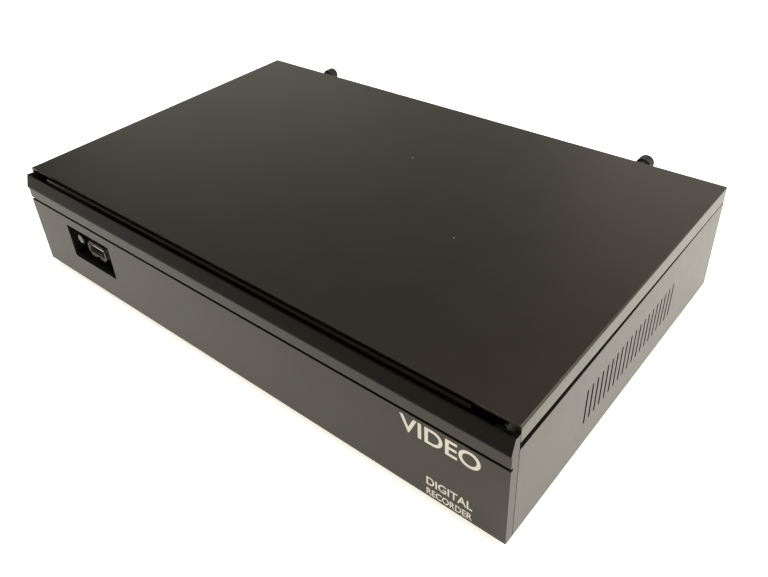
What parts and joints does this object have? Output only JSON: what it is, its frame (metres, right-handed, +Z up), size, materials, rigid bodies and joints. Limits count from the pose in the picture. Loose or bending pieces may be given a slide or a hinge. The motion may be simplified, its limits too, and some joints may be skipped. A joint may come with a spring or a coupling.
{
  "type": "video recorder",
  "caption": "Desktop video recorder: steel tray, slide-off cover with thumbscrews, moulded front panel, main board with rear connectors and an internal hard disk.",
  "frame": {"origin": "middle of the footprint of the whole recorder, on the plane its feet stand on", "axes": "+X to the right seen from the front, the front panel faces -Y, +Z up"},
  "size_m": [0.28, 0.187, 0.057],
  "materials": {
    "black_paint": "satin powder coat, near black with a warm tint",
    "black_plastic": "satin moulded plastic matched to the paint",
    "dark_plastic": "matt black",
    "chip_black": "matt epoxy",
    "thumbscrew_black": "black oxide, knurled",
    "plated_steel": "bright plated sheet",
    "screw_steel": "zinc plated",
    "cast_aluminium": "as cast",
    "platter_mirror": "mirror",
    "laminate": "green solder mask",
    "white_nylon": "off-white moulded",
    "light_lens": "milky, unlit",
    "foot_rubber": "matt",
    "grey_cable": "satin",
    "red_cable": "satin",
    "yellow_cable": "satin"
  },
  "bodies": {
    "tray": {"audio_in_jack": "plated_steel", "audio_out_jack": "plated_steel", "board_screw_front_left": "screw_steel", "board_screw_front_right": "screw_steel", "board_screw_rear_left": "screw_steel", "board_screw_rear_right": "screw_steel", "chassis_tray": "black_paint", "coin_cell": "plated_steel", "coin_cell_holder": "dark_plastic", "dc_jack": "dark_plastic", "disk_board": "laminate", "disk_case": "cast_aluminium", "disk_connector": "dark_plastic", "disk_lid": "plated_steel", "disk_power_cable": "yellow_cable", "disk_power_header": "white_nylon", "disk_power_plug_board": "white_nylon", "disk_power_plug_disk": "dark_plastic", "disk_screw_front_left": "screw_steel", "disk_screw_front_right": "screw_steel", "disk_screw_rear_left": "screw_steel", "disk_screw_rear_right": "screw_steel", "foot_front_left": "foot_rubber", "foot_front_right": "foot_rubber", "foot_rear_left": "foot_rubber", "foot_rear_right": "foot_rubber", "front_board": "laminate", "front_board_screw_left": "screw_steel", "front_board_screw_right": "screw_steel", "front_panel": "black_plastic", "front_usb_shell": "plated_steel", "front_usb_tongue": "white_nylon", "hdmi_port": "plated_steel", "heat_sink": "cast_aluminium", "lan_jack": "plated_steel", "magnet_yoke": "plated_steel", "main_board": "laminate", "memory_chip": "chip_black", "panel_cable": "grey_cable", "panel_header": "white_nylon", "panel_plug": "white_nylon", "panel_plug_front": "white_nylon", "port_recess": "dark_plastic", "processor": "chip_black", "rear_usb_shell": "plated_steel", "rear_usb_tongue": "white_nylon", "sata_data_cable": "red_cable", "sata_data_header": "dark_plastic", "sata_data_plug_board": "dark_plastic", "sata_data_plug_disk": "dark_plastic", "status_light": "light_lens", "vga_port": "plated_steel"},
    "cover": {"top_cover": "black_paint"},
    "left_collar": {"thumbscrew_collar_left": "thumbscrew_black"},
    "left_thumbscrew": {"thumbscrew_left": "thumbscrew_black"},
    "right_collar": {"thumbscrew_collar_right": "thumbscrew_black"},
    "right_thumbscrew": {"thumbscrew_right": "thumbscrew_black"},
    "disk_rotor": {"disk_platter": "platter_mirror", "spindle_hub": "plated_steel"},
    "disk_arm": {"actuator_arm": "cast_aluminium"}
  },
  "joints": [
    {"name": "cover_slide", "type": "slide", "parent": "tray", "child": "cover", "axis": [0, 1, 0], "range_m": [0, 0.18]},
    {"name": "left_screw_withdraw", "type": "slide", "parent": "cover", "child": "left_collar", "axis": [0, 1, 0], "range_m": [0, 0.006]},
    {"name": "left_screw_turn", "type": "hinge", "parent": "left_collar", "child": "left_thumbscrew", "pos_m": [-0.1004, 0.0835, 0.0529], "axis": [0, 1, 0], "range_deg": [0, 4321]},
    {"name": "right_screw_withdraw", "type": "slide", "parent": "cover", "child": "right_collar", "axis": [0, 1, 0], "range_m": [0, 0.006]},
    {"name": "right_screw_turn", "type": "hinge", "parent": "right_collar", "child": "right_thumbscrew", "pos_m": [0.1004, 0.0835, 0.0529], "axis": [0, 1, 0], "range_deg": [0, 4321]},
    {"name": "disk_spin", "type": "hinge", "parent": "tray", "child": "disk_rotor", "pos_m": [0.0748, 0.0307, 0.0245], "axis": [0, 0, 1], "continuous": true},
    {"name": "disk_arm_swing", "type": "hinge", "parent": "tray", "child": "disk_arm", "pos_m": [0.1008, -0.02, 0.024], "axis": [0, 0, -1], "range_deg": [0, 30]}
  ],
  "couplings": [
    {"joint": "left_screw_turn", "follows": "left_screw_withdraw", "rad_per_m": 12566},
    {"joint": "right_screw_turn", "follows": "right_screw_withdraw", "rad_per_m": 12566}
  ]
}
